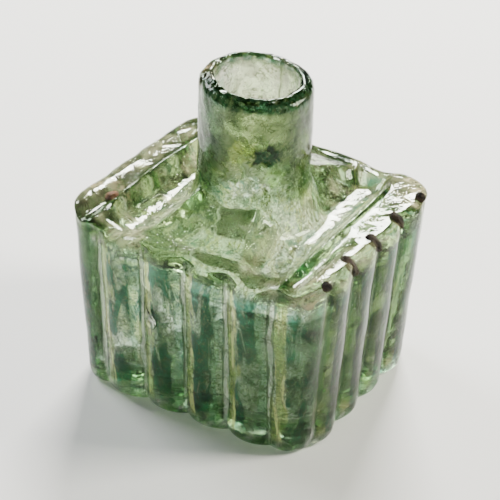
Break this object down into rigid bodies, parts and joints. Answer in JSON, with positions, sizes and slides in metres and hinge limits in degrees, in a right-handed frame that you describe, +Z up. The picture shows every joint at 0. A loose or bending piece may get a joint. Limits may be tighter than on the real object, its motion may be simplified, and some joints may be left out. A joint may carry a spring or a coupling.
{
  "type": "ink bottle",
  "caption": "Reeded glass ink bottle with a nearly square body, a short round neck with a rough burst lip, and a pen-rest trough along each side of the shoulder.",
  "frame": {"origin": "centre of the base, on the surface the bottle stands on", "axes": "+Z up along the neck; X across the two pen rests; Y along them; the groove heads with soil are on the +X face"},
  "size_m": [0.0532, 0.0484, 0.0598],
  "materials": {
    "aqua_glass": "pale green hand-blown glass, hammered and wavy, with seeds",
    "packed_soil": "matte packed black-brown soil",
    "rusty_soil": "matte rust-brown crust"
  },
  "bodies": {
    "root": {"glass_bottle": "aqua_glass", "flute_soil_1": "packed_soil", "flute_soil_2": "packed_soil", "flute_soil_3": "packed_soil", "flute_soil_4": "packed_soil", "flute_soil_5": "packed_soil", "rust_crumb": "rusty_soil"}
  },
  "joints": []
}
